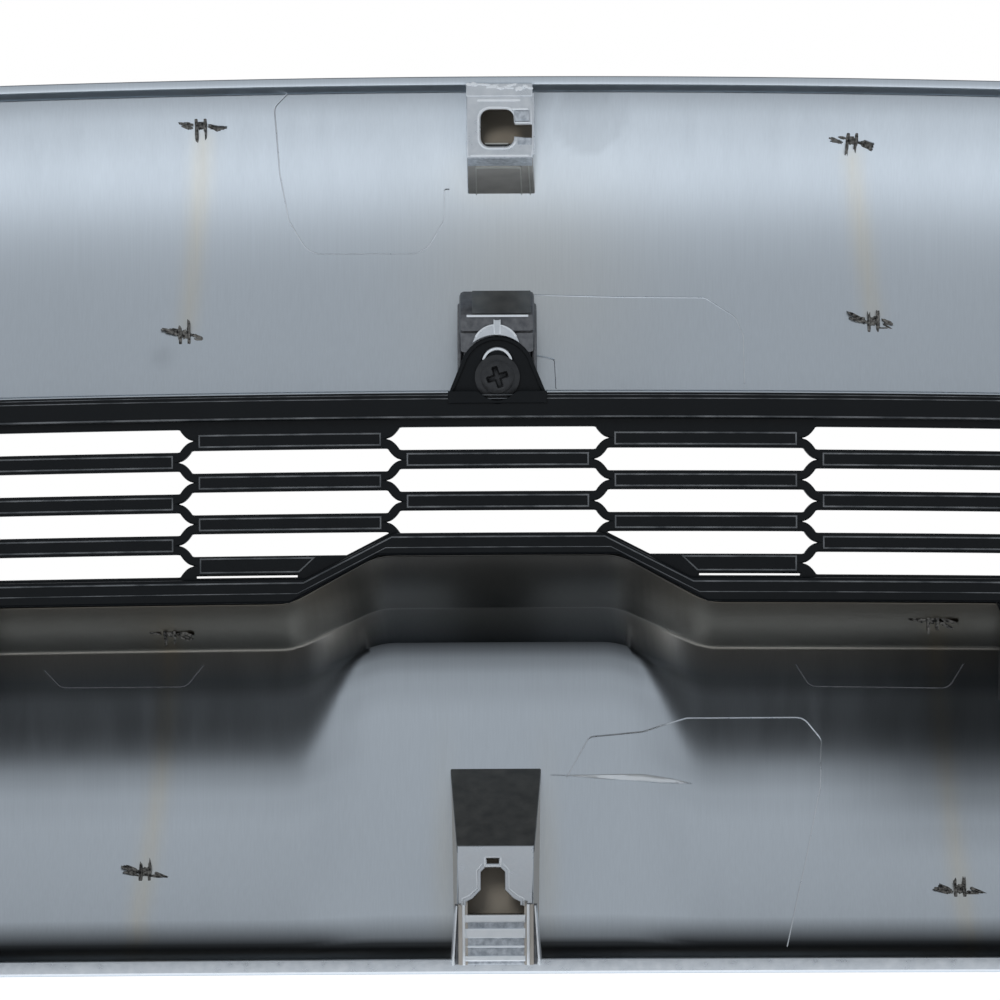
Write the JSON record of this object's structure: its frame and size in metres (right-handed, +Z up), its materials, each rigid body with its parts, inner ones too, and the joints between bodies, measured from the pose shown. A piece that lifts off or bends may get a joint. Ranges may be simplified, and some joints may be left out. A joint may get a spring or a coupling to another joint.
{
  "type": "front grille",
  "caption": "Wide vehicle front grille: chrome-plated upper and lower panels around a black slotted mesh, with clip towers and screws on the back.",
  "frame": {"origin": "middle of the grille's overall box", "axes": "+X across the vehicle, +Y towards the vehicle's front, +Z up; the side with the towers and screws faces -Y"},
  "size_m": [1, 0.0658, 0.223],
  "materials": {
    "plated_chrome": "satin chrome plating on moulded ABS, brushed look on the back",
    "black_plastic": "satin black moulded plastic",
    "dark_screw": "black phosphate coated steel"
  },
  "bodies": {
    "root": {"upper_panel": "plated_chrome", "lower_panel": "plated_chrome", "left_end_cap": "plated_chrome", "right_end_cap": "plated_chrome", "mesh_insert": "black_plastic", "upper_clip_tower_1": "plated_chrome", "lower_clip_tower_1": "plated_chrome", "upper_clip_tower_2": "plated_chrome", "lower_clip_tower_2": "plated_chrome", "upper_clip_tower_3": "plated_chrome", "lower_clip_tower_3": "plated_chrome", "upper_clip_tower_4": "plated_chrome", "lower_clip_tower_4": "plated_chrome", "upper_clip_tower_5": "plated_chrome", "lower_clip_tower_5": "plated_chrome", "upper_screw_tower_1": "plated_chrome", "upper_screw_1": "dark_screw", "upper_screw_tower_2": "plated_chrome", "upper_screw_2": "dark_screw", "upper_screw_tower_3": "plated_chrome", "upper_screw_3": "dark_screw", "lower_screw_tower_1": "plated_chrome", "lower_screw_1": "dark_screw", "lower_screw_tower_2": "plated_chrome", "lower_screw_2": "dark_screw", "lower_screw_tower_3": "plated_chrome", "lower_screw_3": "dark_screw", "lower_screw_tower_4": "plated_chrome", "lower_screw_4": "dark_screw", "left_end_screw_1": "dark_screw", "left_end_screw_2": "dark_screw", "right_end_screw_1": "dark_screw", "right_end_screw_2": "dark_screw"}
  },
  "joints": []
}
